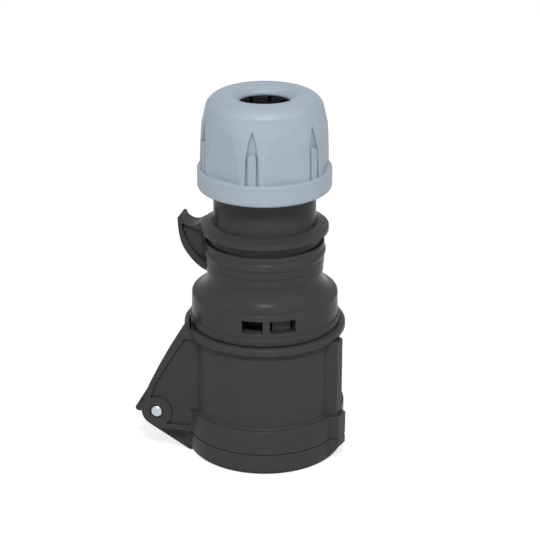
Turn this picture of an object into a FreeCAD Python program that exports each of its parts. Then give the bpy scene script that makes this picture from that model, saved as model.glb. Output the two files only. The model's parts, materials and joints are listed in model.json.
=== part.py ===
import FreeCAD, Part
import math
import os

# In-line power socket: it stands on its closed lid, mouth down.
# Millimetres. Z is the common axis, -X is the hinge side, +X the keyway side, the hinge pin lies along Y.
os.makedirs("parts", exist_ok=True)
V = FreeCAD.Vector

# Clearances
part_gap = 0.3          # faces that pass each other or lie close
run_gap = 0.05          # pin in the knuckle, mating pin in a contact sleeve
fixed_gap = 0.02        # pieces pushed together
seal_gap = 0.1          # rubber beside the wall that it wipes

# Lid
lid_height = 8.0
lid_rim_proud = 0.1     # over the collar
lid_draft = 0.5         # foot inside the rim
lid_edge_round = 2.0
lid_floor = 2.2
lid_wall = 2.4
gasket_width = 3.8
gasket_height = 3.0

# Front housing: bore, barrel, collar, stop bead, spigot
bore_radius = 22.9
barrel_wall = 3.3
barrel_height = 27.8
collar_proud = 1.7      # over the barrel
collar_height = 8.7
collar_round = 0.5
collar_fillet = 0.8     # barrel's foot
bead_fillet = 0.4       # barrel's head
fillet_share = 0.8      # most of a ledge that its fillet may take
bead_proud = 1.8        # over the barrel
bead_height = 2.9
bead_round = 0.9
spigot_proud = 0.3      # over the bore
spigot_height = 9.5
spigot_wall = 2.3
ledge_drop = 0.4        # ledge below the barrel's top
ledge_thickness = 2.0
ledge_width = 4.5
keyway_width = 7.0
keyway_depth = 1.7
keyway_end_margin = 5.0

# Flat-faced nose over the keyway, on barrel, collar and lid
nose_angle = -16.0      # keyway and nose, from +X
nose_half_width = 1.9   # on the barrel
nose_proud = 3.0        # over the barrel
collar_nose_half_width = 2.6
collar_nose_proud = 2.5 # over the collar
nose_depth = 6.0        # from the face down into the wall
nose_flare = 0.54       # flanks' spread for each unit of depth
nose_lift = 0.6         # the parting line stands higher on the nose
nose_wall = 2.6         # lid's raised edge on the nose
nose_foot_rise = 3.4    # slope under the lid's nose

# Hinge
pin_out = 7.4           # collar's side to the pin axis
pin_drop = 1.6          # pin axis below the collar's top
pin_radius = 2.0
pin_sink = 0.4          # sunk ring round the pin's ends
pin_sink_depth = 0.7
pin_proud = 0.2
pin_chamfer = 0.3
ear_gap = 27.2          # between the inner faces of the two ears
ear_thickness = 2.2
ear_rim_height = 0.9
ear_rim = 1.9
ear_floor_rim = 1.9
ear_lift = 0.8          # floor above the mouth
ear_panel_drop = 0.5    # panel's top below the bead
ear_root_in = 5.7       # root inside the barrel's side
ear_tip_in = 3.3        # tip inside the barrel's side
ear_tip_rise = 4.9      # tip above the deck
ear_belly_out = 4.8     # bulge outside the barrel's side
ear_belly_drop = 5.8    # bulge below the bead
ear_heel_out = 2.6      # heel beyond the pin axis
ear_heel_rise = 10.0    # heel above the pin axis
boss_radius = 5.4
blend_radius = 4.0      # hollow between a round wall and the ear or arm beside it

# Lid arm and knuckle
knuckle_radius = 5.3
arm_side_gap = 0.4
arm_drop = 7.6          # pin axis to the arm's outer face
arm_angle = 239.0       # outward direction of the arm's outer face, in the XZ plane
tail_angle = 148.5      # outward direction of the tail's face
tail_reach = 7.1        # pin axis to the tail's face
tail_length = 2.8       # tail's face beyond the point nearest to the pin
tail_under = 2.0        # tail's lower side below the pin axis
tail_round = 1.2
arm_clear = 1.0         # arm to the collar's side
lid_stop_angle = 112.0
stop_rib_inner = 6.0
stop_rib_rise = 18.6     # rib's top above the pin axis
stop_rib_length = 3.4
stop_rib_thickness = 2.5

# Torsion spring
wire_radius = 0.55
coil_radius = 3.6
coil_gap = 0.15
coil_turns = 4
leg_length = 7.0
spring_slot = 9.2
slot_reach = 8.0
slot_depth = 4.6

# Contact carrier, sleeves and terminals
boss_front_inset = 1.7
carrier_gap = 0.5       # boss inside the ledge
flange_height = 3.0
terminal_block_step = 1.7 # block inside the boss's outline
terminal_block_height = 8.6
contact_inset = 6.7     # boss's side to the circle that the contacts stand on
face_thickness = 1.5
phase_pin_radius = 2.5
earth_pin_radius = 3.5
sleeve_wall = 1.0
sleeve_slit = 0.8
sleeve_slit_length = 22.0
sleeve_ring_wall = 0.5
sleeve_ring_height = 5.0
sleeve_ring_inset = 3.0
well_gap = 0.3
terminal_radius = 4.4
terminal_height = 10.0
terminal_floor = 1.2
wire_hole_radius = 1.9
wire_hole_depth = 7.5
screw_radius = 1.6
screw_head_radius = 2.4
screw_head_height = 1.7
screw_slot = 0.7
screw_below_top = 4.0

# Bayonet and lock windows between the two housings
twist_angle = 23.7
lug_count = 3
lug_width = 4.0
lug_height = 2.4
lug_depth = 1.1
lug_above_deck = 5.2
first_lug_angle = -30.0
window_low = 4.2        # above the skirt's lower edge
window_height = 4.5
open_window_width = 7.3
lock_window_width = 9.0
open_window_angle = -87.6
tongue_width = 6.4
tongue_slit = 0.8
seal_ring_radius = 0.75
seal_ring_above_deck = 2.0

# Rear housing
skirt_wall = 2.5
skirt_lip_height = 2.6
skirt_lip_round = 0.5
drum_step = 0.8         # inside the skirt's lip
drum_height = 10.8
drum_taper = 0.2
shoulder_round = 0.8
flare_height = 8.0
flare_hollow = 1.3
shoulder_width = 5.0    # drum's side to the neck's foot
neck_foot_height = 8.4
neck_step = 0.25        # first step in the neck's foot
neck_step_height = 2.6
neck_band_proud = 0.75  # round band above it, over the neck's foot
neck_band_height = 3.1
neck_bead_proud = 0.3   # bead above the band, over the neck's foot
neck_bead_height = 2.1
neck_bead_edge = 0.2
neck_groove_depth = 0.8 # inside the neck's foot
neck_groove_height = 3.6
flange_proud = 1.7      # over the neck's foot
flange_edge = 1.5
flange_slope = 1.3
flange_top_proud = 0.7  # over the neck
neck_step_in = 2.7      # neck inside its foot
neck_length = 25.3
neck_wall = 3.1
chamber_wall = 2.2
thread_depth = 0.7
thread_length = 6.5
throat_radius = 11.5
throat_thickness = 3.0

# Finger hook on the rear housing
hook_width = 7.8
hook_rim = 1.2          # outside the side hollow
hook_foot_rim = 2.2     # under the side hollow
hook_web = 5.5          # between the two side hollows
hook_hollow_rise = 0.9  # hollow's outer top above the flange's underside
hook_hollow_drop = 1.4  # hollow's inner top below it
hook_out = 7.8          # outer edge beyond the flange
hook_tip_rise = 1.8     # above the flange's edge
hook_tip_width = 1.5
hook_tip_round = 0.9    # height of the rounded end
hook_scoop = 1.1        # scoop below the flange's edge
hook_root_drop = 17.6   # below the flange's edge
hook_curve = ((0.65, 0.0), (0.786, 0.139), (0.874, 0.294), (0.932, 0.436), (0.98, 0.663),
              (0.997, 0.876), (1.0, 1.0))

# Cable gland: seal, basket, nut
seal_bore_radius = 7.75
seal_height = 10.0
seal_pocket_depth = 14.0
tighten_travel = 4.0
basket_bore_radius = 8.2
basket_ring_height = 3.2
basket_top_wall = 3.0
finger_count = 8
finger_slit = 1.4
nut_height = 32.4
nut_overlap = 12.9
nut_flange_height = 7.3
nut_flange_wall = 5.3   # over the neck
nut_flange_round = 1.1
nut_body_step = 0.9     # body inside the flange
nut_waist_step = 0.9    # waist inside the body's foot
nut_waist_height = 22.8
nut_side_bulge = 0.2
nut_crown_step = 1.4    # crown's edge inside the waist
nut_dome_bulge = 0.55
nut_crown_height = 28.9
nut_dome_width = 6.6    # crown's edge to the top ring
nut_hole_radius = 8.45
nut_lip_drop = 2.5
nut_lip_thickness = 3.3
nut_flat_depth = 1.24   # flats between the corners, inside the body's foot
corner_count = 6
first_corner_angle = -89.0
recess_width = 4.6
recess_height = 18.0
recess_waist = 0.88     # share of the width left at half height
recess_shoulder = 0.56  # and at three quarters
recess_depth = 0.8      # at the flange
recess_top_depth = 0.4
rib_width = 2.8
rib_height = 10.6
rib_proud = 0.6

# Heights that follow from the sizes above
mouth_z = lid_height + part_gap
collar_top = mouth_z + collar_height
barrel_top = collar_top + barrel_height
deck_z = barrel_top + bead_height
pin_z = collar_top - pin_drop
ear_low = mouth_z + ear_lift
ear_panel_top = barrel_top - ear_panel_drop
ear_tip_z = deck_z + ear_tip_rise
ear_belly_z = barrel_top - ear_belly_drop
ear_heel_z = pin_z + ear_heel_rise
stop_rib_top = pin_z + stop_rib_rise
spigot_top = deck_z + spigot_height
ledge_z = barrel_top - ledge_drop
seat_z = ledge_z + ledge_thickness
skirt_z = deck_z + part_gap
shoulder_z = skirt_z + drum_height
neck_foot_z = shoulder_z + flare_height
neck_bead_z = neck_foot_z + neck_foot_height
neck_band_z = neck_bead_z - neck_band_height
neck_groove_z = neck_bead_z + neck_bead_height
flange_z = neck_groove_z + neck_groove_height
flange_top_z = flange_z + flange_edge
neck_z = flange_top_z + flange_slope
neck_top = neck_z + neck_length
seal_seat_z = neck_top - seal_pocket_depth
throat_z = seal_seat_z - throat_thickness
seal_top = seal_seat_z + seal_height
nut_z = neck_top - nut_overlap
nut_top = nut_z + nut_height
nut_flange_top = nut_z + nut_flange_height
basket_z = seal_top + tighten_travel + part_gap
basket_top = nut_top - nut_lip_thickness - part_gap

# Radii and places across that follow
barrel_radius = bore_radius + barrel_wall
collar_radius = barrel_radius + collar_proud
bead_radius = barrel_radius + bead_proud
lid_rim_radius = collar_radius + lid_rim_proud
lid_foot_radius = lid_rim_radius - lid_draft
spigot_radius = bore_radius + spigot_proud
spigot_bore = spigot_radius - spigot_wall
pin_x = -collar_radius - pin_out
ear_root_x = -barrel_radius + ear_root_in
ear_tip_x = -barrel_radius + ear_tip_in
ear_belly_x = -barrel_radius - ear_belly_out
ear_heel_x = pin_x - ear_heel_out
ledge_bore = bore_radius - ledge_width
carrier_radius = ledge_bore - carrier_gap
terminal_block_radius = carrier_radius - terminal_block_step
contact_circle = carrier_radius - contact_inset
skirt_bore = spigot_radius + part_gap
skirt_radius = skirt_bore + skirt_wall
drum_radius = skirt_radius - drum_step
neck_foot_radius = drum_radius - shoulder_width
neck_bead_radius = neck_foot_radius + neck_bead_proud
neck_band_radius = neck_foot_radius + neck_band_proud
neck_groove_radius = neck_foot_radius - neck_groove_depth
flange_radius = neck_foot_radius + flange_proud
neck_radius = neck_foot_radius - neck_step_in
flange_top_radius = neck_radius + flange_top_proud
hook_reach = flange_radius + hook_out
nut_flange_radius = neck_radius + nut_flange_wall
nut_body_radius = nut_flange_radius - nut_body_step
nut_waist_radius = nut_body_radius - nut_waist_step
nut_crown_radius = nut_waist_radius - nut_crown_step
nut_top_radius = nut_crown_radius - nut_dome_width
nut_flat = nut_body_radius - nut_flat_depth
pocket_radius = neck_radius - neck_wall
nut_bore = neck_radius + part_gap
basket_radius = pocket_radius - part_gap
gasket_pocket = lid_rim_radius - lid_wall
gasket_seat_z = mouth_z - seal_gap - gasket_height
lid_well = gasket_pocket - gasket_width - part_gap
ear_inner = ear_gap / 2
ear_outer = ear_inner + ear_thickness + ear_rim_height
arm_half = ear_inner - arm_side_gap
boss_front = mouth_z + boss_front_inset
flange_fit_radius = spigot_bore - 2 * fixed_gap
terminal_z = seat_z + flange_height + terminal_floor
lock_window_angle = open_window_angle + twist_angle
contact_pins = {"earth": earth_pin_radius, "line": phase_pin_radius, "neutral": phase_pin_radius}
contact_kinds = {}
for kind, pin in contact_pins.items():
    contact_kinds[kind] = (len(contact_kinds) * 360 / len(contact_pins), pin)


def arc(center, radius, first, last):
    # middle and end of an arc, angles in degrees
    half = math.radians((first + last) / 2)
    end = math.radians(last)
    middle = (center[0] + radius * math.cos(half), center[1] + radius * math.sin(half))
    return middle, (center[0] + radius * math.cos(end), center[1] + radius * math.sin(end))


def toward(start, distance, angle):
    turn = math.radians(angle)
    return start[0] + distance * math.cos(turn), start[1] + distance * math.sin(turn)


def outline(start, *steps):
    # closed wire in the XZ plane: a step is a point, or the middle and end of an arc
    edges = []
    first = V(start[0], 0, start[1])
    here = first
    for step in steps:
        if isinstance(step[0], tuple):
            there = V(step[1][0], 0, step[1][1])
            edges.append(Part.Arc(here, V(step[0][0], 0, step[0][1]), there).toShape())
        else:
            there = V(step[0], 0, step[1])
            edges.append(Part.LineSegment(here, there).toShape())
        here = there
    if here.distanceToPoint(first) > 1e-6:
        edges.append(Part.LineSegment(here, first).toShape())
    return Part.Wire(edges)


def turned(start, *steps):
    return Part.Face(outline(start, *steps)).revolve(V(0, 0, 0), V(0, 0, 1), 360)


def plate(wire, low_y, high_y):
    solid = Part.Face(wire).extrude(V(0, high_y - low_y, 0))
    solid.translate(V(0, low_y, 0))
    return solid


def rod(radius, low_z, high_z, x=0.0, y=0.0):
    return Part.makeCylinder(radius, high_z - low_z, V(x, y, low_z))


def tube(inner, outer, low_z, high_z):
    return rod(outer, low_z, high_z).cut(rod(inner, low_z, high_z))


def cross_rod(radius, low_y, high_y, x, z):
    return Part.makeCylinder(radius, high_y - low_y, V(x, low_y, z), V(0, 1, 0))


def block(low, high):
    return Part.makeBox(high[0] - low[0], high[1] - low[1], high[2] - low[2], V(*low))


def at_angle(shape, angle):
    copy = shape.copy()
    copy.rotate(V(0, 0, 0), V(0, 0, 1), angle)
    return copy


def sector(inner, outer, low_z, high_z, low_angle, high_angle):
    # part of a ring between two angles
    face = Part.Face(outline((inner, low_z), (outer, low_z), (outer, high_z), (inner, high_z)))
    return at_angle(face, low_angle).revolve(V(0, 0, 0), V(0, 0, 1), high_angle - low_angle)


def export(name, shape):
    solids = shape.Solids
    result = solids[0] if len(solids) == 1 else Part.makeCompound(solids)
    result.exportStep("parts/" + name + ".step")
    print(name, len(solids), "solid", result.isValid(), round(result.Volume, 1))


def nose(face_x, half, low_z, high_z):
    # flat-faced block over the keyway, with flanks that spread down into the round wall
    root_x = face_x - nose_depth
    root_half = half + nose_depth * nose_flare
    corners = []
    for x, y in ((root_x, -root_half), (face_x, -half), (face_x, half), (root_x, root_half)):
        corners.append(V(x, y, low_z))
    solid = Part.Face(Part.makePolygon(corners + corners[:1])).extrude(V(0, 0, high_z - low_z))
    return at_angle(solid, nose_angle)


def ear_outline(inset, floor_inset):
    # side view of one hinge ear, from its root along the floor, round the heel and up the slope
    heel = (ear_heel_x + inset, ear_heel_z)
    belly = (ear_belly_x + inset, ear_belly_z - inset)
    tip = (ear_tip_x + inset, ear_tip_z - inset)
    return outline(
        (ear_root_x, ear_low + floor_inset),
        (pin_x, ear_low + floor_inset),
        (pin_x - boss_radius + inset, pin_z),
        heel,
        (belly, tip),
        (ear_root_x, ear_tip_z - inset),
    )


def ear():
    panel = ear_inner + ear_thickness
    body = plate(ear_outline(0, 0), ear_inner, panel)
    rim = plate(ear_outline(0, 0), panel, ear_outer)
    hollow = plate(ear_outline(ear_rim, ear_floor_rim), panel, ear_outer)
    hollow = hollow.common(block((-2 * collar_radius, panel, 0), (0, ear_outer, ear_panel_top)))
    boss = cross_rod(boss_radius, ear_inner, ear_outer, pin_x, pin_z)
    shape = body.fuse(rim.cut(hollow)).fuse(boss)
    shape = shape.fuse(blend(collar_radius, collar_radius, panel, ear_low, collar_top))
    shape = shape.fuse(blend(barrel_radius, barrel_radius, panel, collar_top, ear_panel_top))
    behind_tip = block((ear_tip_x, ear_inner, deck_z), (0, ear_outer, ear_tip_z))
    return shape.cut(behind_tip)


def blend_section(radius, panel, z):
    # between a flat side and a round wall: a hollow arc that touches both
    center_y = panel + blend_radius
    center = V(-math.sqrt((radius + blend_radius) ** 2 - center_y ** 2), center_y, z)
    share = radius / (radius + blend_radius)
    on_wall = V(center.x * share, center.y * share, z)
    on_panel = V(center.x, panel, z)
    middle = center + ((on_wall + on_panel) * 0.5 - center).normalize() * blend_radius
    inside = V(on_wall.x, panel - ear_thickness, z)
    corner = V(center.x, panel - ear_thickness, z)
    return Part.Wire([
        Part.Arc(on_panel, middle, on_wall).toShape(),
        Part.LineSegment(on_wall, inside).toShape(),
        Part.LineSegment(inside, corner).toShape(),
        Part.LineSegment(corner, on_panel).toShape(),
    ])


def blend(low_radius, high_radius, panel, low_z, high_z):
    sections = [blend_section(low_radius, panel, low_z), blend_section(high_radius, panel, high_z)]
    return Part.makeLoft(sections, True, True)


def stop_rib():
    # rib between ear and barrel that the tail meets when the lid is fully open
    facing = tail_angle - lid_stop_angle
    foot = toward((pin_x, pin_z), tail_reach + part_gap, facing)
    low = toward(foot, tail_length, facing + 90)
    high = toward(low, stop_rib_length, facing + 90)
    back = toward(high, stop_rib_thickness, facing)
    wall_x = -bore_radius * math.cos(math.asin(ear_inner / bore_radius))
    wire = outline(low, high, back, (wall_x, stop_rib_top), (wall_x, low[1]))
    return plate(wire, stop_rib_inner, ear_inner)


def mirrored_pair(shape):
    return shape.fuse(shape.mirror(V(0, 0, 0), V(0, 1, 0)))


def front_housing():
    bead_low = (bead_radius - bead_round, barrel_top + bead_round)
    bead_high = (bead_radius - bead_round, deck_z - bead_round)
    collar_corner = (collar_radius - collar_round, collar_top - collar_round)
    foot_fillet = min(collar_fillet, fillet_share * (collar_proud - collar_round))
    head_fillet = min(bead_fillet, fillet_share * (bead_proud - bead_round))
    foot_center = (barrel_radius + foot_fillet, collar_top + foot_fillet)
    head_center = (barrel_radius + head_fillet, barrel_top - head_fillet)
    shell = turned(
        (0, mouth_z),
        (collar_radius, mouth_z),
        (collar_radius, collar_corner[1]),
        arc(collar_corner, collar_round, 0, 90),
        (foot_center[0], collar_top),
        arc(foot_center, foot_fillet, 270, 180),
        (barrel_radius, head_center[1]),
        arc(head_center, head_fillet, 180, 90),
        (bead_low[0], barrel_top),
        arc(bead_low, bead_round, -90, 0),
        (bead_radius, bead_high[1]),
        arc(bead_high, bead_round, 0, 90),
        (spigot_radius, deck_z),
        (spigot_radius, spigot_top),
        (0, spigot_top),
    )
    collar_nose = collar_radius + collar_nose_proud
    shell = shell.fuse(nose(barrel_radius + nose_proud, nose_half_width, collar_top, barrel_top))
    shell = shell.fuse(nose(collar_nose, collar_nose_half_width, mouth_z, collar_top))
    step = nose(collar_nose, collar_nose_half_width, mouth_z, mouth_z + nose_lift)
    shell = shell.cut(step.cut(rod(collar_nose - nose_wall - part_gap, mouth_z, mouth_z + nose_lift)))
    shell = shell.fuse(mirrored_pair(ear())).fuse(mirrored_pair(stop_rib()))
    shell = shell.cut(rod(bore_radius, mouth_z, ledge_z))
    shell = shell.cut(rod(ledge_bore, ledge_z, seat_z))
    shell = shell.cut(rod(spigot_bore, seat_z, spigot_top))
    key = block((0, -keyway_width / 2, mouth_z),
                (bore_radius + keyway_depth, keyway_width / 2, ledge_z - keyway_end_margin))
    shell = shell.cut(at_angle(key, nose_angle))
    pin_hole = cross_rod(pin_radius + fixed_gap, -ear_outer, ear_outer, pin_x, pin_z)
    shell = shell.cut(pin_hole)
    sunk = cross_rod(pin_radius + pin_sink, ear_outer - pin_sink_depth, ear_outer, pin_x, pin_z)
    shell = shell.cut(mirrored_pair(sunk))
    seal_z = deck_z + seal_ring_above_deck
    groove = seal_ring_radius + seal_gap
    groove_floor = skirt_bore - seal_gap - 2 * seal_ring_radius - fixed_gap
    shell = shell.cut(tube(groove_floor, skirt_bore, seal_z - groove, seal_z + groove))
    for opening in spigot_cuts():
        shell = shell.cut(opening)
    return shell


def spigot_cuts():
    # bayonet tracks, the hole behind the open window and the slit round the lock tongue
    cuts = []
    track_floor = skirt_bore - lug_depth - part_gap
    track_low = deck_z + lug_above_deck - part_gap
    track_high = track_low + lug_height + 2 * part_gap
    margin = math.degrees((lug_width / 2 + part_gap) / track_floor)
    for number in range(lug_count):
        middle = first_lug_angle + number * 360 / lug_count
        last = middle + twist_angle + margin
        cuts.append(sector(track_floor, skirt_bore, track_low, track_high, middle - margin, last))
        cuts.append(sector(track_floor, skirt_bore, track_low, spigot_top, last - 2 * margin, last))
    low = skirt_z + window_low
    high = low + window_height
    slot = block((spigot_bore - part_gap, -open_window_width / 2, low),
                 (skirt_bore, open_window_width / 2, high))
    cuts.append(at_angle(slot, open_window_angle))
    outer = block((spigot_bore - part_gap, -tongue_width / 2 - tongue_slit, low),
                  (skirt_bore, tongue_width / 2 + tongue_slit, high + tongue_slit))
    tongue = block((spigot_bore - part_gap, -tongue_width / 2, low),
                   (skirt_bore, tongue_width / 2, high))
    cuts.append(at_angle(outer.cut(tongue), lock_window_angle))
    return cuts


def arm_outline():
    # side view of the lid's arm, its tail and the way up to the pin
    pin = (pin_x, pin_z)
    on_floor = toward(pin, arm_drop, arm_angle)
    slope = math.tan(math.radians(arm_angle + 90))
    floor_x = on_floor[0] - on_floor[1] / slope
    on_tail = toward(pin, tail_reach, tail_angle)
    tail_end = toward(on_tail, tail_length, tail_angle - 90)
    end_reach = math.hypot(tail_reach, tail_length)
    end_angle = tail_angle - math.degrees(math.atan(tail_length / tail_reach))
    tangent = end_angle - math.degrees(math.acos(knuckle_radius / end_reach))
    under_z = pin_z - tail_under
    center_z = under_z + tail_round
    tail_turn = math.radians(tail_angle)
    face_reach = tail_reach - tail_round - (center_z - pin_z) * math.sin(tail_turn)
    face_x = pin_x + face_reach / math.cos(tail_turn)
    return outline(
        (-lid_well, 0),
        (floor_x, 0),
        on_floor,
        (pin_x - knuckle_radius + part_gap, under_z),
        (face_x, under_z),
        arc((face_x, center_z), tail_round, 270, tail_angle),
        tail_end,
        toward(pin, knuckle_radius, tangent),
        pin,
        (-collar_radius - arm_clear, lid_height),
        (-lid_well, lid_height),
    )


def lid():
    foot = (lid_foot_radius - lid_edge_round, lid_edge_round)
    shape = turned(
        (0, 0),
        (foot[0], 0),
        arc(foot, lid_edge_round, -90, 0),
        (lid_rim_radius, lid_height),
        (0, lid_height),
    )
    lid_nose = collar_radius + collar_nose_proud
    slope_top = lid_edge_round + nose_foot_rise
    slope_reach = math.hypot(lid_nose, collar_nose_half_width)
    slope = turned(
        (0, lid_edge_round),
        (lid_foot_radius, lid_edge_round),
        (slope_reach, slope_top),
        (slope_reach, lid_height),
        (0, lid_height),
    )
    shape = shape.fuse(nose(lid_nose, collar_nose_half_width, lid_edge_round, lid_height).common(slope))
    shape = shape.fuse(plate(arm_outline(), -arm_half, arm_half))
    beside = plate(arm_outline(), arm_half - blend_radius, arm_half + blend_radius)
    beside = beside.common(blend(lid_foot_radius, lid_rim_radius, arm_half, lid_edge_round, lid_height))
    shape = shape.fuse(mirrored_pair(beside))
    shape = shape.fuse(cross_rod(knuckle_radius, -arm_half, arm_half, pin_x, pin_z))
    shape = shape.cut(rod(lid_well, lid_floor, lid_height))
    shape = shape.cut(rod(gasket_pocket, gasket_seat_z, lid_height))
    shape = shape.cut(cross_rod(pin_radius + run_gap, -arm_half, arm_half, pin_x, pin_z))
    slot = []
    for drop, side in ((slot_depth, slot_depth), (-slot_reach, slot_depth),
                       (-slot_reach, -slot_reach), (slot_depth, -slot_reach)):
        slot.append(toward(toward((pin_x, pin_z), drop, arm_angle), side, tail_angle))
    shape = shape.cut(plate(outline(*slot), -spring_slot / 2, spring_slot / 2))
    edge = nose(lid_nose, collar_nose_half_width - part_gap, lid_height - lid_floor, lid_height + nose_lift)
    return shape.fuse(edge.cut(rod(lid_nose - nose_wall, lid_height - lid_floor, lid_height + nose_lift)))


def lid_gasket():
    outer = gasket_pocket - fixed_gap
    return tube(outer - gasket_width, outer, gasket_seat_z, gasket_seat_z + gasket_height)


def hinge_pin():
    reach = ear_outer + pin_proud
    shape = cross_rod(pin_radius, -reach, reach, pin_x, pin_z)
    rims = [edge for edge in shape.Edges if isinstance(edge.Curve, Part.Circle)]
    return shape.makeChamfer(pin_chamfer, rims)


def lid_spring():
    # coil about the pin, one leg on the barrel and one on the arm's floor
    fixed_start = 90.0
    turn = coil_turns * 360 + arm_angle - fixed_start
    pitch = 2 * wire_radius + coil_gap
    length = pitch * turn / 360
    helix = Part.makeHelix(pitch, length, coil_radius)
    section = Part.Wire(Part.makeCircle(wire_radius, V(coil_radius, 0, 0), V(0, 1, 0)))
    coil = helix.makePipeShell([section], True, True)
    place = FreeCAD.Matrix(0, -1, 0, pin_x, 0, 0, -1, length / 2, 1, 0, 0, pin_z)
    coil = coil.transformGeometry(place)
    wall_x = -math.sqrt(barrel_radius ** 2 - (length / 2) ** 2)
    top = V(pin_x, length / 2, pin_z + coil_radius)
    fixed_leg = Part.makeCylinder(wire_radius, wall_x - part_gap - pin_x, top, V(1, 0, 0))
    start = toward((pin_x, pin_z), coil_radius, arm_angle)
    low = V(start[0], -length / 2, start[1])
    way = toward((0, 0), 1, arm_angle + 90)
    moving_leg = Part.makeCylinder(wire_radius, leg_length, low, V(way[0], 0, way[1]))
    shape = coil
    for end in (top, low):
        shape = shape.fuse(Part.makeSphere(wire_radius, end))
    for leg in (fixed_leg, moving_leg):
        shape = shape.fuse(leg)
    return shape


def housing_seal():
    # closed O-ring of round section in the spigot's groove
    middle = skirt_bore - seal_gap - seal_ring_radius
    return Part.makeTorus(middle, seal_ring_radius, V(0, 0, deck_z + seal_ring_above_deck))


def well_radius(pin):
    return pin + run_gap + sleeve_wall + sleeve_ring_wall + well_gap


def sleeve_hole(pin):
    return pin + run_gap + sleeve_wall + fixed_gap


def contact_carrier():
    # boss in the mouth, with a well behind each hole for a sleeve and its ring
    body = rod(carrier_radius, boss_front, seat_z - fixed_gap)
    well_z = boss_front + face_thickness
    well_end = well_z + sleeve_ring_inset + sleeve_ring_height
    for angle, pin in contact_kinds.values():
        cuts = rod(pin + part_gap, boss_front, well_z, contact_circle)
        cuts = cuts.fuse(rod(well_radius(pin), well_z, well_end, contact_circle))
        cuts = cuts.fuse(rod(sleeve_hole(pin), well_z, seat_z, contact_circle))
        body = body.cut(at_angle(cuts, angle))
    return body


def terminal_block():
    # flange on the ledge, with open chambers behind for the terminals
    body = rod(flange_fit_radius, seat_z, seat_z + flange_height)
    back = seat_z + flange_height + terminal_block_height
    body = body.fuse(rod(terminal_block_radius, seat_z, back))
    for angle, pin in contact_kinds.values():
        cuts = rod(sleeve_hole(pin), seat_z, back, contact_circle)
        cuts = cuts.fuse(rod(terminal_radius + fixed_gap, terminal_z, back, contact_circle))
        cuts = cuts.fuse(block((contact_circle, -screw_head_radius - part_gap, terminal_z),
                               (flange_fit_radius, screw_head_radius + part_gap, back)))
        body = body.cut(at_angle(cuts, angle))
    return body


def contact_sleeve(angle, pin):
    # brass tube with a slit front, and a terminal block with a wire hole behind
    bore = pin + run_gap
    outer = bore + sleeve_wall
    front = boss_front + face_thickness
    top = terminal_z + terminal_height
    shape = rod(outer, front, terminal_z, contact_circle)
    shape = shape.fuse(rod(terminal_radius, terminal_z, top, contact_circle))
    shape = shape.cut(rod(bore, front, terminal_z - terminal_floor, contact_circle))
    slit = block((contact_circle - outer, -sleeve_slit / 2, front),
                 (contact_circle, sleeve_slit / 2, front + sleeve_slit_length))
    shape = shape.cut(slit)
    shape = shape.cut(rod(wire_hole_radius, top - wire_hole_depth, top, contact_circle))
    screw_hole = Part.makeCylinder(screw_radius + fixed_gap, terminal_radius,
                                   V(contact_circle, 0, top - screw_below_top), V(1, 0, 0))
    return at_angle(shape.cut(screw_hole), angle)


def sleeve_ring(angle, pin):
    # open ring of spring steel round the slit end of a sleeve
    inner = sleeve_hole(pin)
    low = boss_front + face_thickness + sleeve_ring_inset
    high = low + sleeve_ring_height - part_gap
    shape = rod(inner + sleeve_ring_wall, low, high, contact_circle)
    shape = shape.cut(rod(inner, low, high, contact_circle))
    mouth = block((contact_circle, -sleeve_slit / 2, low),
                  (contact_circle + 2 * inner, sleeve_slit / 2, high))
    return at_angle(shape.cut(mouth), angle)


def terminal_screw(angle):
    level = terminal_z + terminal_height - screw_below_top
    tip_x = contact_circle + wire_hole_radius - part_gap
    head_x = contact_circle + terminal_radius
    shank = Part.makeCylinder(screw_radius, head_x - tip_x, V(tip_x, 0, level), V(1, 0, 0))
    head = Part.makeCylinder(screw_head_radius, screw_head_height, V(head_x, 0, level), V(1, 0, 0))
    slot = block((head_x + screw_head_height / 2, -screw_head_radius, level - screw_slot / 2),
                 (head_x + screw_head_height, screw_head_radius, level + screw_slot / 2))
    return at_angle(shank.fuse(head).cut(slot), angle)


def hook_back(inset, lift):
    # points up the hook's outer edge: shares of its reach and of its height
    root_z = flange_top_z - hook_root_drop
    rise = hook_root_drop + hook_tip_rise - hook_tip_round
    return [V(inset - out * hook_reach, 0, root_z + lift + up * rise) for out, up in hook_curve]


def curve_through(points):
    curve = Part.BSplineCurve()
    curve.interpolate(points)
    return curve.toShape()


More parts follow.
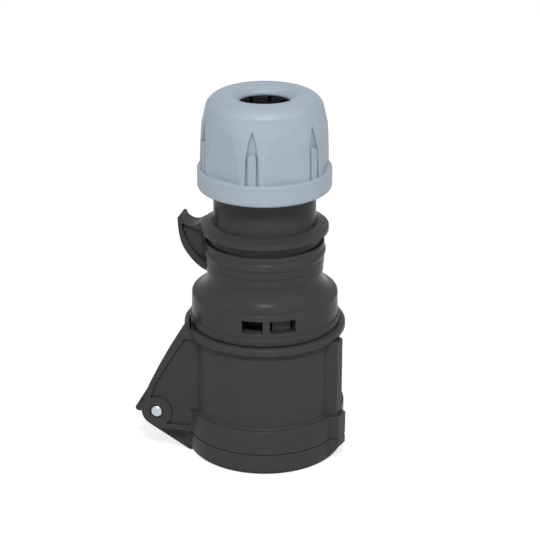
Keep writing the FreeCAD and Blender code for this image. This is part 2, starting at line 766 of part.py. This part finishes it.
def hook():
    # finger hook with a hollow in each side, and a scooped top that ends in a rounded tip
    back = hook_back(0, 0)
    tip_mid = back[-1] + V(hook_tip_width / 2, 0, hook_tip_round)
    inner_tip = back[-1] + V(hook_tip_width, 0, 0)
    scoop_end = V(-flange_radius, 0, flange_top_z)
    scoop_mid = V((inner_tip.x + scoop_end.x) / 2, 0, flange_top_z - hook_scoop)
    root_top = V(-neck_radius, 0, flange_top_z)
    root_low = V(-neck_radius, 0, back[0].z)
    whole = plate(Part.Wire([
        curve_through(back),
        Part.Arc(back[-1], tip_mid, inner_tip).toShape(),
        Part.Arc(inner_tip, scoop_mid, scoop_end).toShape(),
        Part.LineSegment(scoop_end, root_top).toShape(),
        Part.LineSegment(root_top, root_low).toShape(),
        Part.LineSegment(root_low, back[0]).toShape(),
    ]), -hook_width / 2, hook_width / 2)
    top = V(hook_rim - hook_reach, 0, flange_z + hook_hollow_rise)
    edge = [point for point in hook_back(hook_rim, hook_foot_rim) if point.z < flange_z - hook_hollow_drop]
    under_flange = V(-flange_radius, 0, flange_z - hook_hollow_drop)
    corner = V(-neck_radius, 0, under_flange.z)
    low = V(-neck_radius, 0, edge[0].z)
    side = plate(Part.Wire([
        curve_through(edge + [top]),
        Part.LineSegment(top, under_flange).toShape(),
        Part.LineSegment(under_flange, corner).toShape(),
        Part.LineSegment(corner, low).toShape(),
        Part.LineSegment(low, edge[0]).toShape(),
    ]), hook_web / 2, hook_width / 2)
    return whole.cut(mirrored_pair(side))


def flare_point(share, inset):
    # a place on the hollow flare between drum and neck, moved inward by a wall
    top = (neck_foot_radius - inset, neck_foot_z)
    low = (drum_radius - shoulder_round - inset, shoulder_z - inset)
    sag = 4 * share * (1 - share) * flare_hollow
    return low[0] + share * (top[0] - low[0]) - sag, low[1] + share * (top[1] - low[1]) - sag


def rear_inside():
    # hollow of the rear housing: skirt bore, wiring chamber, throat and seal pocket
    groove = neck_groove_radius - chamber_wall
    chamber = neck_radius - chamber_wall
    return turned(
        (0, skirt_z),
        (skirt_bore, skirt_z),
        (skirt_bore, spigot_top + part_gap),
        (flare_point(0, chamber_wall)[0], spigot_top + part_gap),
        flare_point(0.5, chamber_wall),
        (groove, neck_foot_z),
        (groove, flange_z),
        (chamber, neck_z),
        (chamber, throat_z - chamber + throat_radius),
        (throat_radius, throat_z),
        (throat_radius, seal_seat_z),
        (pocket_radius, seal_seat_z),
        (pocket_radius, neck_top),
        (0, neck_top),
    )


def rear_housing():
    lip_top = skirt_z + skirt_lip_height
    round_center = (drum_radius - shoulder_round, shoulder_z - shoulder_round)
    flare_mid = flare_point(0.5, 0)
    bead_mid = neck_bead_z + neck_bead_height / 2
    band_mid = neck_bead_z - neck_band_height / 2
    step_radius = neck_foot_radius + neck_step
    lip_corner = (skirt_radius - skirt_lip_round, lip_top - skirt_lip_round)
    thread_z = neck_top - thread_length
    shell = turned(
        (0, skirt_z),
        (skirt_radius, skirt_z),
        (skirt_radius, lip_corner[1]),
        arc(lip_corner, skirt_lip_round, 0, 90),
        (drum_radius + drum_taper, lip_top),
        (drum_radius, round_center[1]),
        arc(round_center, shoulder_round, 0, 90),
        (flare_mid, (neck_foot_radius, neck_foot_z)),
        (neck_foot_radius, neck_band_z - neck_step_height),
        (step_radius, neck_band_z - neck_step_height + neck_step),
        (step_radius, neck_band_z),
        ((neck_band_radius, band_mid), (neck_bead_radius - neck_bead_edge, neck_bead_z)),
        ((neck_bead_radius, bead_mid), (neck_bead_radius - neck_bead_edge, neck_groove_z)),
        (neck_groove_radius, neck_groove_z),
        (neck_groove_radius, flange_z),
        (flange_radius, flange_z),
        (flange_radius, flange_top_z),
        (flange_top_radius, neck_z),
        (neck_radius, neck_z),
        (neck_radius, thread_z),
        (neck_radius - thread_depth, thread_z + thread_depth),
        (neck_radius - thread_depth, neck_top),
        (0, neck_top),
    )
    shell = shell.fuse(hook()).cut(rear_inside())
    low = skirt_z + window_low
    for angle, width in ((open_window_angle, open_window_width), (lock_window_angle, lock_window_width)):
        window = block((skirt_bore - lug_depth, -width / 2, low),
                       (skirt_radius, width / 2, low + window_height))
        shell = shell.cut(at_angle(window, angle))
    lug_low = deck_z + lug_above_deck
    half = math.degrees(lug_width / 2 / skirt_bore)
    for number in range(lug_count):
        middle = first_lug_angle + number * 360 / lug_count
        lug = sector(skirt_bore - lug_depth, (skirt_bore + drum_radius) / 2, lug_low, lug_low + lug_height,
                     middle - half, middle + half)
        shell = shell.fuse(lug)
    return shell


def gland_seal():
    return tube(seal_bore_radius, pocket_radius - fixed_gap, seal_seat_z, seal_top)


def basket_outline(extra):
    # radius of the basket's outside at its shoulder and at its top
    shoulder_z = neck_top + tighten_travel + part_gap
    return basket_radius + extra, shoulder_z, basket_bore_radius + basket_top_wall + extra


def clamp_basket():
    outer, shoulder, top_radius = basket_outline(0)
    shape = turned(
        (basket_bore_radius, basket_z),
        (outer, basket_z),
        (outer, shoulder),
        (top_radius, basket_top),
        (basket_bore_radius, basket_top),
    )
    for number in range(finger_count):
        slit = block((0, -finger_slit / 2, basket_z + basket_ring_height),
                     (basket_radius + part_gap, finger_slit / 2, basket_top))
        shape = shape.cut(at_angle(slit, number * 360 / finger_count))
    return shape


def nut_profile():
    # outside of the nut above its flange
    waist_z = nut_z + nut_waist_height
    crown_z = nut_z + nut_crown_height
    dome = nut_crown_radius - nut_top_radius
    dome_mid = toward((nut_top_radius, nut_top - dome), dome, 45)
    dome_mid = (dome_mid[0], (crown_z + nut_top) / 2 + nut_dome_bulge)
    side_mid = ((nut_body_radius + nut_waist_radius) / 2 + nut_side_bulge, (nut_flange_top + waist_z) / 2)
    return (
        (nut_body_radius, nut_flange_top),
        (side_mid, (nut_waist_radius, waist_z)),
        (nut_crown_radius, crown_z),
        (dome_mid, (nut_top_radius, nut_top)),
    )


def gland_nut():
    outer, shoulder, top_radius = basket_outline(part_gap)
    lip_z = nut_top - nut_lip_thickness
    foot = (nut_flange_radius - nut_flange_round, nut_z + nut_flange_round)
    ledge = (nut_flange_radius - nut_flange_round / 2, nut_flange_top - nut_flange_round / 2)
    hole_mid = ((nut_top_radius + nut_hole_radius) / 2, nut_top - nut_lip_drop / 4)
    shape = turned(
        (nut_bore, nut_z),
        (foot[0], nut_z),
        arc(foot, nut_flange_round, -90, 0),
        (nut_flange_radius, ledge[1]),
        arc(ledge, nut_flange_round / 2, 0, 90),
        *nut_profile(),
        (hole_mid, (nut_hole_radius, nut_top - nut_lip_drop)),
        (nut_hole_radius, lip_z),
        (top_radius, lip_z),
        (outer, shoulder),
        (nut_bore, shoulder),
    )
    far = 2 * nut_flange_radius
    for number in range(corner_count):
        corner = first_corner_angle + number * 360 / corner_count
        flat = block((nut_flat, -far, nut_flange_top), (far, far, nut_top))
        shape = shape.cut(at_angle(flat, corner + 180 / corner_count))
    for number in range(corner_count):
        corner = first_corner_angle + number * 360 / corner_count
        shape = shape.cut(at_angle(arch(), corner))
        shape = shape.fuse(at_angle(rib(), corner))
    return shape


def arch():
    # pointed arch that stands on the flange, with a floor that leans in with the nut's side
    half = recess_width / 2
    above_waist = nut_flange_height + recess_height - nut_waist_height
    side = nut_waist_radius - nut_crown_step * above_waist / (nut_crown_height - nut_waist_height)
    foot = V(nut_body_radius - recess_depth, 0, nut_flange_top)
    lean = V(side - recess_top_depth, 0, nut_flange_top + recess_height) - foot
    right = []
    for rise, share in ((0, 1), (1 / 2, recess_waist), (3 / 4, recess_shoulder)):
        right.append(foot + lean * rise + V(0, half * share, 0))
    left = [V(point.x, -point.y, point.z) for point in reversed(right)]
    corners = right + [foot + lean] + left
    return Part.Face(Part.makePolygon(corners + corners[:1])).extrude(V(nut_flange_radius, 0, 0))


def rib():
    # half-height rib with a rounded top in a corner's recess
    inner = neck_radius + 2 * part_gap
    outer = nut_body_radius - recess_depth + rib_proud
    top = nut_flange_top + rib_height - rib_width / 2
    shape = block((inner, -rib_width / 2, nut_flange_top), (outer, rib_width / 2, top))
    return shape.fuse(Part.makeCylinder(rib_width / 2, outer - inner, V(inner, 0, top), V(1, 0, 0)))


export("front_housing", front_housing())
export("lid", lid())
export("lid_gasket", lid_gasket())
export("hinge_pin", hinge_pin())
export("lid_spring", lid_spring())
export("housing_seal", housing_seal())
export("contact_carrier", contact_carrier())
export("terminal_block", terminal_block())
for kind, (angle, pin) in contact_kinds.items():
    export("contact_sleeve_" + kind, contact_sleeve(angle, pin))
    export("sleeve_ring_" + kind, sleeve_ring(angle, pin))
    export("terminal_screw_" + kind, terminal_screw(angle))
export("rear_housing", rear_housing())
export("gland_seal", gland_seal())
export("clamp_basket", clamp_basket())
export("gland_nut", gland_nut())
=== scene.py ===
import json
import math
import bpy
import bmesh
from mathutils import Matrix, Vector


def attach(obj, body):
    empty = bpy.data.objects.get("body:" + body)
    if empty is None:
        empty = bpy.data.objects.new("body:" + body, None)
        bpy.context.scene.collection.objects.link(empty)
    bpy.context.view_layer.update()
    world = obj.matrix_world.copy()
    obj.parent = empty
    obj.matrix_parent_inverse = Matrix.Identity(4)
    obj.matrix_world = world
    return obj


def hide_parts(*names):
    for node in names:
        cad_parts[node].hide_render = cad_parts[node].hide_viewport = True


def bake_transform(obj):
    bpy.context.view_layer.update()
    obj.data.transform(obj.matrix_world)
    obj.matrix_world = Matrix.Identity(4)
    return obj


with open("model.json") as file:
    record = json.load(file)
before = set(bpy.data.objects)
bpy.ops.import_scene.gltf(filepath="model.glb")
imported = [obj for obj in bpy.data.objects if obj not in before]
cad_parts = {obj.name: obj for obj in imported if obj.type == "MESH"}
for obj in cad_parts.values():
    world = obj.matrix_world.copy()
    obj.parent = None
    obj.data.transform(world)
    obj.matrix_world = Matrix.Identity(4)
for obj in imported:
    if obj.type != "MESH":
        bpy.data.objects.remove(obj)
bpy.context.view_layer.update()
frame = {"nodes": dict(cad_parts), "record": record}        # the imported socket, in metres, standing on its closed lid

mm = 0.001
scene = bpy.context.scene
scene.view_settings.view_transform = "Standard"
print("loaded", len(frame["nodes"]), "pieces of the socket")


# sRGB hex to the linear colour that the shader sockets take
def linearOf(hexCode):
    parts = [int(hexCode[i:i + 2], 16) / 255 for i in (1, 3, 5)]
    return (*[c / 12.92 if c <= 0.04045 else ((c + 0.055) / 1.055) ** 2.4 for c in parts], 1.0)


# one node: settings are its own properties, inputs are numbers, colours or another node's output
def put(tree, kind, settings=None, inputs=None):
    node = tree.nodes.new(kind)
    for name, value in (settings or {}).items():
        setattr(node, name, value)
    for name, value in (inputs or {}).items():
        if isinstance(value, bpy.types.NodeSocket):
            tree.links.new(value, node.inputs[name])
        else:
            node.inputs[name].default_value = value
    return node


# colour between two, by a share from 0 to 1: a colour mix takes them at inputs 6 and 7 and gives output 2
def mixColour(tree, share, first, second):
    return put(tree, "ShaderNodeMix", {"data_type": "RGBA"}, {0: share, 6: first, 7: second}).outputs[2]


# a value's span laid out from low to high
def mapSpan(tree, value, span, low, high):
    return put(tree, "ShaderNodeMapRange", inputs={
        "Value": value, "From Min": span[0], "From Max": span[1],
        "To Min": low, "To Max": high}).outputs["Result"]


# one operation on two numbers
def reckon(tree, operation, first, second):
    return put(tree, "ShaderNodeMath", {"operation": operation}, {0: first, 1: second}).outputs["Value"]


# uneven pattern between 0 and 1
def noise(tree, place, scale, quality):
    return put(tree, "ShaderNodeTexNoise", inputs={"Vector": place, "Scale": scale, **quality}).outputs["Fac"]


# pattern scale for a feature of this size
def perMetre(sizeMm):
    return 1 / (sizeMm * mm)


def newMaterial(name):
    material = bpy.data.materials.new(name)
    material.use_nodes = True
    material.node_tree.nodes.clear()
    return material, material.node_tree


speckRange = (0.35, 0.75)     # grain heights that turn paler
rubAndHighlightRange = (0.96, 0.78)       # cosine of softened to straight normal, from a sound edge to a rubbed one with a painted highlight
paintedShadeRange = (0.25, 0.72)   # share of open sky, from the bottom of a crease, fully in painted shade, to a free face
hazeRange = (0.3, 0.7)        # where most of a noise lies
edgeSamples = 6               # rays that look for an edge
shadeOcclusionSamples = 12           # rays that look for open sky, for the painted shade in creases
grainQuality = {"Detail": 2.0, "Roughness": 0.6}
cloudQuality = {"Detail": 4.0, "Roughness": 0.55}
lineQuality = {"Detail": 2.0}
hazeQuality = {"Detail": 3.0}


# roughness that drifts with a noise, by the look's spread to both sides
def driftingRoughness(tree, drift, look):
    middle, spread = look["rough"], look["roughSpread"]
    return mapSpan(tree, drift, hazeRange, middle - spread, middle + spread)


# a moulded plastic or rubber: fine tool grain, slow clouds in colour and gloss, edges painted paler, partly as wear and
# partly as a highlight, and creases painted darker and duller as shade, by how little open sky they see
def mouldedFinish(look):
    material, tree = newMaterial(look["name"])
    place = put(tree, "ShaderNodeTexCoord").outputs["Object"]
    paleTone = linearOf(look["paleTone"])
    grain = noise(tree, place, perMetre(look["grainMm"]), grainQuality)
    cloud = noise(tree, place, perMetre(look["cloudMm"]), cloudQuality)
    clouded = mixColour(tree, cloud, linearOf(look["dark"]), linearOf(look["light"]))
    speck = mapSpan(tree, grain, speckRange, 0.0, look["speck"])
    speckled = mixColour(tree, speck, clouded, paleTone)
    bevel = put(tree, "ShaderNodeBevel", {"samples": edgeSamples}, {"Radius": look["edgeMm"] * mm})
    soft = bevel.outputs["Normal"]
    straight = put(tree, "ShaderNodeNewGeometry").outputs["Normal"]
    facing = put(tree, "ShaderNodeVectorMath", {"operation": "DOT_PRODUCT"}, {0: soft, 1: straight})
    # edges painted paler: partly rubbed wear, partly a painted highlight along each rounded edge
    rubbedAndHighlit = mapSpan(tree, facing.outputs["Value"], rubAndHighlightRange, 0.0, look["rubAndHighlight"])
    patchy = reckon(tree, "MULTIPLY", rubbedAndHighlit, cloud)
    rubbedAndHighlitColour = mixColour(tree, patchy, speckled, paleTone)
    # painted shade: creases, grooves and recesses are darkened by how little open sky they see, and their gloss is cut
    # there as well
    shadeOcclusion = put(tree, "ShaderNodeAmbientOcclusion", {"samples": shadeOcclusionSamples}, {
        "Distance": look["paintedShadeReachMm"] * mm})
    openness = mapSpan(tree, shadeOcclusion.outputs["AO"], paintedShadeRange, 0.0, 1.0)
    colour = mixColour(tree, openness, linearOf(look["paintedShade"]), rubbedAndHighlitColour)
    shine = reckon(tree, "MULTIPLY", openness, look["gloss"])
    bump = put(tree, "ShaderNodeBump", inputs={
        "Strength": look["grainStrength"], "Distance": look["grainDepthMm"] * mm,
        "Height": grain, "Normal": soft})
    shader = put(tree, "ShaderNodeBsdfPrincipled", inputs={
        "Base Color": colour, "Roughness": driftingRoughness(tree, cloud, look),
        "IOR": look["ior"], "Specular IOR Level": shine, "Normal": bump.outputs["Normal"]})
    put(tree, "ShaderNodeOutputMaterial", inputs={"Surface": shader.outputs["BSDF"]})
    return material


# a bare metal: fine lines left by drawing or turning, and a thin tarnish that dulls it in patches
def metalFinish(look):
    material, tree = newMaterial(look["name"])
    place = put(tree, "ShaderNodeTexCoord").outputs["Object"]
    across = perMetre(look["lineMm"])
    along = perMetre(look["runMm"])
    stretch = put(tree, "ShaderNodeVectorMath", {"operation": "MULTIPLY"}, {
        0: place, 1: [along if axis == look["axis"] else across for axis in "XYZ"]})
    lines = noise(tree, stretch.outputs["Vector"], 1.0, lineQuality)
    haze = noise(tree, place, perMetre(look["hazeMm"]), hazeQuality)
    colour = mixColour(tree, haze, linearOf(look["bright"]), linearOf(look["dull"]))
    bump = put(tree, "ShaderNodeBump", inputs={
        "Strength": look["lineStrength"], "Distance": look["lineDepthMm"] * mm, "Height": lines})
    shader = put(tree, "ShaderNodeBsdfPrincipled", inputs={
        "Base Color": colour, "Metallic": 1.0, "Roughness": driftingRoughness(tree, haze, look),
        "Normal": bump.outputs["Normal"]})
    put(tree, "ShaderNodeOutputMaterial", inputs={"Surface": shader.outputs["BSDF"]})
    return material


# glass-filled polyamide, injection moulded in a spark-eroded tool: charcoal and dry to the eye,
# since the fine grain leaves only a faint sheen where a curve turns away
housingLook = {
    "name": "moulded glass-filled polyamide, black",
    # the crease colour is painted shade in deep creases; the pale colour marks specks and edges, the edges partly as
    # wear and partly as a painted highlight
    "dark": "#353535", "light": "#3B3B3B", "paleTone": "#5E5E5F", "paintedShade": "#2A2A2A",
    "grainMm": 0.4,          # real grain is about 0.1 mm, drawn coarser to show
    "grainDepthMm": 0.02, "grainStrength": 0.35,
    "cloudMm": 9.0, "speck": 0.06, "rubAndHighlight": 0.8,
    "edgeMm": 0.3, "paintedShadeReachMm": 4.0, "rough": 0.27, "roughSpread": 0.04, "ior": 1.53, "gloss": 0.04,
}

# unfilled polyamide, moulded with a finer grain: pale blue-grey, evenly matt
nutLook = {
    "name": "moulded polyamide, blue-grey",
    # the crease colour is painted shade in deep creases; the pale colour marks specks and edges, the edges partly as
    # wear and partly as a painted highlight
    "dark": "#88949D", "light": "#94A0A9", "paleTone": "#B4BEC7", "paintedShade": "#8793A0",
    "grainMm": 0.35,         # real grain is under 0.1 mm, drawn coarser to show
    "grainDepthMm": 0.015, "grainStrength": 0.3,
    "cloudMm": 8.0, "speck": 0.08, "rubAndHighlight": 0.5,
    "edgeMm": 0.9, "paintedShadeReachMm": 3.0, "rough": 0.5, "roughSpread": 0.05, "ior": 1.53, "gloss": 0.4,
}

# acetal, moulded smooth: the clamping fingers shine a little more than the housing
basketLook = {
    "name": "moulded acetal, black",
    # the crease colour is painted shade in deep creases; the pale colour marks specks and edges, the edges partly as
    # wear and partly as a painted highlight
    "dark": "#151617", "light": "#1B1C1D", "paleTone": "#4A4B4D", "paintedShade": "#0B0B0C",
    "grainMm": 0.6, "grainDepthMm": 0.01, "grainStrength": 0.2,
    "cloudMm": 6.0, "speck": 0.04, "rubAndHighlight": 0.6,
    "edgeMm": 0.25, "paintedShadeReachMm": 2.0, "rough": 0.36, "roughSpread": 0.05, "ior": 1.48, "gloss": 0.5,
}

# mineral-filled polyamide, moulded: the inner insulators are a shade paler and chalkier
carrierLook = {
    "name": "moulded mineral-filled polyamide, grey",
    # the crease colour is painted shade in deep creases; the pale colour marks specks and edges, the edges partly as
    # wear and partly as a painted highlight
    "dark": "#3A3C3F", "light": "#46484B", "paleTone": "#707276", "paintedShade": "#232527",
    "grainMm": 0.4, "grainDepthMm": 0.015, "grainStrength": 0.3,
    "cloudMm": 5.0, "speck": 0.1, "rubAndHighlight": 0.6,
    "edgeMm": 0.3, "paintedShadeReachMm": 3.0, "rough": 0.52, "roughSpread": 0.05, "ior": 1.55, "gloss": 0.4,
}

# nitrile rubber, moulded: dull black with a faint grey bloom
rubberLook = {
    "name": "moulded nitrile rubber, black",
    # the crease colour is painted shade in deep creases; the pale colour marks specks and edges, the edges partly as
    # wear and partly as a painted highlight
    "dark": "#131313", "light": "#1D1D1E", "paleTone": "#3C3C3D", "paintedShade": "#0B0B0B",
    "grainMm": 0.5, "grainDepthMm": 0.02, "grainStrength": 0.4,
    "cloudMm": 4.0, "speck": 0.1, "rubAndHighlight": 0.4,
    "edgeMm": 0.3, "paintedShadeReachMm": 2.0, "rough": 0.68, "roughSpread": 0.06, "ior": 1.52, "gloss": 0.4,
}

# carbon steel, drawn and zinc plated: bright, with a cool cast and lines along the rod
steelLook = {
    "name": "drawn zinc-plated steel",
    "bright": "#C9D2D6", "dull": "#A9B4B8", "axis": "Y",
    "lineMm": 0.25, "runMm": 8.0, "lineDepthMm": 0.01, "lineStrength": 0.25,
    "hazeMm": 1.2, "rough": 0.3, "roughSpread": 0.06,
}

# spring steel, drawn as wire or rolled as strip: darker and smoother than plated steel
springLook = {
    "name": "drawn spring steel",
    "bright": "#A4A8AC", "dull": "#84888C", "axis": "Z",
    "lineMm": 0.2, "runMm": 5.0, "lineDepthMm": 0.008, "lineStrength": 0.2,
    "hazeMm": 2.0, "rough": 0.28, "roughSpread": 0.05,
}

# brass, turned from bar: yellow, with fine rings and a thin brown tarnish
brassLook = {
    "name": "turned brass",
    "bright": "#D8B86A", "dull": "#B8924C", "axis": "Z",
    "lineMm": 0.3, "runMm": 0.12, "lineDepthMm": 0.01, "lineStrength": 0.25,
    "hazeMm": 3.0, "rough": 0.27, "roughSpread": 0.06,
}

slotFinish = {
    "housing": mouldedFinish(housingLook),
    "nut": mouldedFinish(nutLook),
    "basket": mouldedFinish(basketLook),
    "carrier": mouldedFinish(carrierLook),
    "rubber": mouldedFinish(rubberLook),
    "steel": metalFinish(steelLook),
    "spring_steel": metalFinish(springLook),
    "brass": metalFinish(brassLook),
}
print("made", len(slotFinish), "materials")

# each CAD piece takes the finish of its material slot
for part in frame["record"]["subparts"]:
    piece = frame["nodes"][part["node"]]
    piece.data.materials.clear()
    piece.data.materials.append(slotFinish[part["material_slot"]])
print("dressed the CAD pieces")


# point at a radius and a height in mm, around the socket's axis
def aroundAxis(reachMm, angle, levelMm):
    return (reachMm * mm * math.cos(angle), reachMm * mm * math.sin(angle), levelMm * mm)


# walls between two outlines with the same number of corners
def joinOutlines(shape, lower, upper):
    for i in range(len(lower)):
        j = (i + 1) % len(lower)
        shape.faces.new((lower[i], lower[j], upper[j], upper[i]))


# closes the shape's ends and makes it a piece of its body
def addPiece(name, shape, ends, look):
    for end in ends:
        shape.faces.new(end)
    bmesh.ops.recalc_face_normals(shape, faces=shape.faces)
    mesh = bpy.data.meshes.new(name)
    shape.to_mesh(mesh)
    shape.free()
    mesh.materials.append(slotFinish[look["slot"]])
    piece = bpy.data.objects.new(name, mesh)
    scene.collection.objects.link(piece)
    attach(piece, look["body"])


# helical ridge with flat crest and sloping flanks, fading out at both ends
def threadRidge(name, thread):
    ridge = bmesh.new()
    steps = round(thread["turns"] * thread["stepsPerTurn"])
    fadeSteps = thread["fadeTurns"] * thread["stepsPerTurn"]
    foot, top = thread["footWideMm"] / 2, thread["crestWideMm"] / 2
    rows = []
    for step in range(steps + 1):
        around = math.tau * step / thread["stepsPerTurn"]
        level = thread["lowMm"] + thread["pitchMm"] * step / thread["stepsPerTurn"]
        grown = max(thread["fadeLeast"], min(1, step / fadeSteps, (steps - step) / fadeSteps))
        crest = thread["rootMm"] + (thread["crestMm"] - thread["rootMm"]) * grown
        section = ((thread["rootMm"], -foot), (crest, -top), (crest, top), (thread["rootMm"], foot))
        rows.append([ridge.verts.new(aroundAxis(reach, around, level + up)) for reach, up in section])
    for lower, upper in zip(rows, rows[1:]):
        joinOutlines(ridge, lower, upper)
    addPiece(name, ridge, (rows[0], rows[-1]), thread)


# the neck's thread, and the nut's half a pitch above it, so the two run in each other at every turn
neckThread = {
    "body": "rear", "slot": "housing",
    "pitchMm": 3.0, "turns": 1.4, "stepsPerTurn": 72, "lowMm": 103.6,
    "rootMm": 16.75, "crestMm": 17.4, "footWideMm": 1.7, "crestWideMm": 0.7,
    "fadeTurns": 0.125, "fadeLeast": 0.05,
}
nutThread = {
    "body": "nut", "slot": "nut",
    "pitchMm": 3.0, "turns": 1.3, "stepsPerTurn": 72, "lowMm": 108.1,
    "rootMm": 17.85, "crestMm": 17.1, "footWideMm": 1.6, "crestWideMm": 0.6,
    "fadeTurns": 0.125, "fadeLeast": 0.05,
}
threadRidge("neck_thread", neckThread)
threadRidge("nut_thread", nutThread)
print("cut the gland threads")

# small raised arrow on the drum, left of the windows, that points the way to turn
twistMark = {
    "body": "rear", "slot": "housing",
    "angle": -115.3, "levelMm": 55.0, "footMm": 25.0, "faceMm": 25.48, "faceShare": 0.85,
    "outlineMm": ((-0.9, -0.25), (0.1, -0.25), (0.1, -0.8), (1.0, 0.0),
                  (0.1, 0.8), (0.1, 0.25), (-0.9, 0.25)),
}
arrow = bmesh.new()
outlines = []
for reach, share in ((twistMark["footMm"], 1.0), (twistMark["faceMm"], twistMark["faceShare"])):
    outline = []
    for along, up in twistMark["outlineMm"]:
        around = math.radians(twistMark["angle"]) + along * share / reach
        outline.append(arrow.verts.new(aroundAxis(reach, around, twistMark["levelMm"] + up * share)))
    outlines.append(outline)
joinOutlines(arrow, *outlines)
addPiece("twist_mark", arrow, outlines, twistMark)
print("raised the twist mark")

# a copy of the lid's torsion spring, with its placing baked in, stands in for the CAD spring, which is hidden
coilMesh = frame["nodes"]["lid_spring"].data.copy()
coilMesh.name = "wound_spring"
coil = bpy.data.objects.new("wound_spring", coilMesh)
scene.collection.objects.link(coil)
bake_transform(coil)
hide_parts("lid_spring")


# stands a camera or lamp off the target, azimuth from the socket's front and elevation from the floor
def standOff(name, data, place, target):
    turn, tilt = math.radians(place["azimuth"]), math.radians(place["elevation"])
    out = Vector((math.sin(turn) * math.cos(tilt), -math.cos(turn) * math.cos(tilt), math.sin(tilt)))
    holder = bpy.data.objects.new(name, data)
    holder.location = target + out * place["distance"]
    holder.rotation_euler = (-out).to_track_quat("-Z", "Y").to_euler()
    scene.collection.objects.link(holder)
    return holder


# camera at the photograph's angle, in metres and degrees, with lens and sensor in mm
view = {
    "azimuth": 12.0, "elevation": 22.1, "distance": 0.603, "height": 0.0653, "aside": 0.00179,
    "lens": 116.67, "sensor": 36.0, "nearest": 0.01,
}
turned = math.radians(view["azimuth"])
target = Vector((math.cos(turned), math.sin(turned), 0)) * view["aside"] + Vector((0, 0, view["height"]))
eye = bpy.data.cameras.new("camera")
eye.lens = view["lens"]
eye.sensor_width = view["sensor"]
eye.clip_start = view["nearest"]
scene.camera = standOff("camera", eye, view, target)

# pale floor: white to the eye and in reflections, but it keeps the socket's shadow
floorLook = {
    "size": 6.0, "colour": "#FFFFFF", "gapMm": 0.05,
    "glow": 0.7, "glowLevel": 1.15,     # the rest of what is seen is the light that falls on it
}
floorMesh = bpy.data.meshes.new("floor")
half = floorLook["size"] / 2
floorCorners = [(-half, -half, 0), (half, -half, 0), (half, half, 0), (-half, half, 0)]
floorMesh.from_pydata(floorCorners, [], [(0, 1, 2, 3)])
floor = bpy.data.objects.new("floor", floorMesh)
floor.location.z = -floorLook["gapMm"] * mm     # so that it doesn't share the lid's face
scene.collection.objects.link(floor)


# 1 for what the eye sees straight, in a reflection or through glass
def seenRays(tree):
    path = put(tree, "ShaderNodeLightPath").outputs
    facingEye = reckon(tree, "MAXIMUM", path["Is Camera Ray"], path["Is Glossy Ray"])
    return reckon(tree, "MAXIMUM", facingEye, path["Is Transmission Ray"])


paper, tree = newMaterial("matt studio paper")
matt = put(tree, "ShaderNodeBsdfDiffuse", inputs={"Color": linearOf(floorLook["colour"])})
glow = put(tree, "ShaderNodeEmission", inputs={
    "Color": linearOf(floorLook["colour"]), "Strength": floorLook["glowLevel"]})
glowShare = reckon(tree, "MULTIPLY", seenRays(tree), floorLook["glow"])
mixed = put(tree, "ShaderNodeMixShader", inputs={
    0: glowShare, 1: matt.outputs["BSDF"], 2: glow.outputs["Emission"]})
put(tree, "ShaderNodeOutputMaterial", inputs={"Surface": mixed.outputs["Shader"]})
floorMesh.materials.append(paper)

# soft studio: a pale room, a small bright box above the camera and a large weak one at each side
roomLook = {"colour": "#F4F7FB", "level": 0.43, "seenLevel": 1.0}
world = bpy.data.worlds.new("studio room")
world.use_nodes = True
tree = world.node_tree
tree.nodes.clear()
level = mapSpan(tree, seenRays(tree), (0.0, 1.0), roomLook["level"], roomLook["seenLevel"])
room = put(tree, "ShaderNodeBackground", inputs={"Color": linearOf(roomLook["colour"]), "Strength": level})
put(tree, "ShaderNodeOutputWorld", inputs={"Surface": room.outputs["Background"]})
scene.world = world

softBoxes = {
    "key box": {"azimuth": 12.0, "elevation": 52.0, "distance": 1.3, "size": 0.24, "power": 13.6},
    "left box": {"azimuth": -50.0, "elevation": 40.0, "distance": 1.5, "size": 0.9, "power": 0.7},
    "right box": {"azimuth": 80.0, "elevation": 35.0, "distance": 1.5, "size": 0.9, "power": 2.0},
}
for name, box in softBoxes.items():
    lamp = bpy.data.lights.new(name, "AREA")
    lamp.size = box["size"]
    lamp.energy = box["power"]
    standOff(name, lamp, box, target)
print("set the studio")
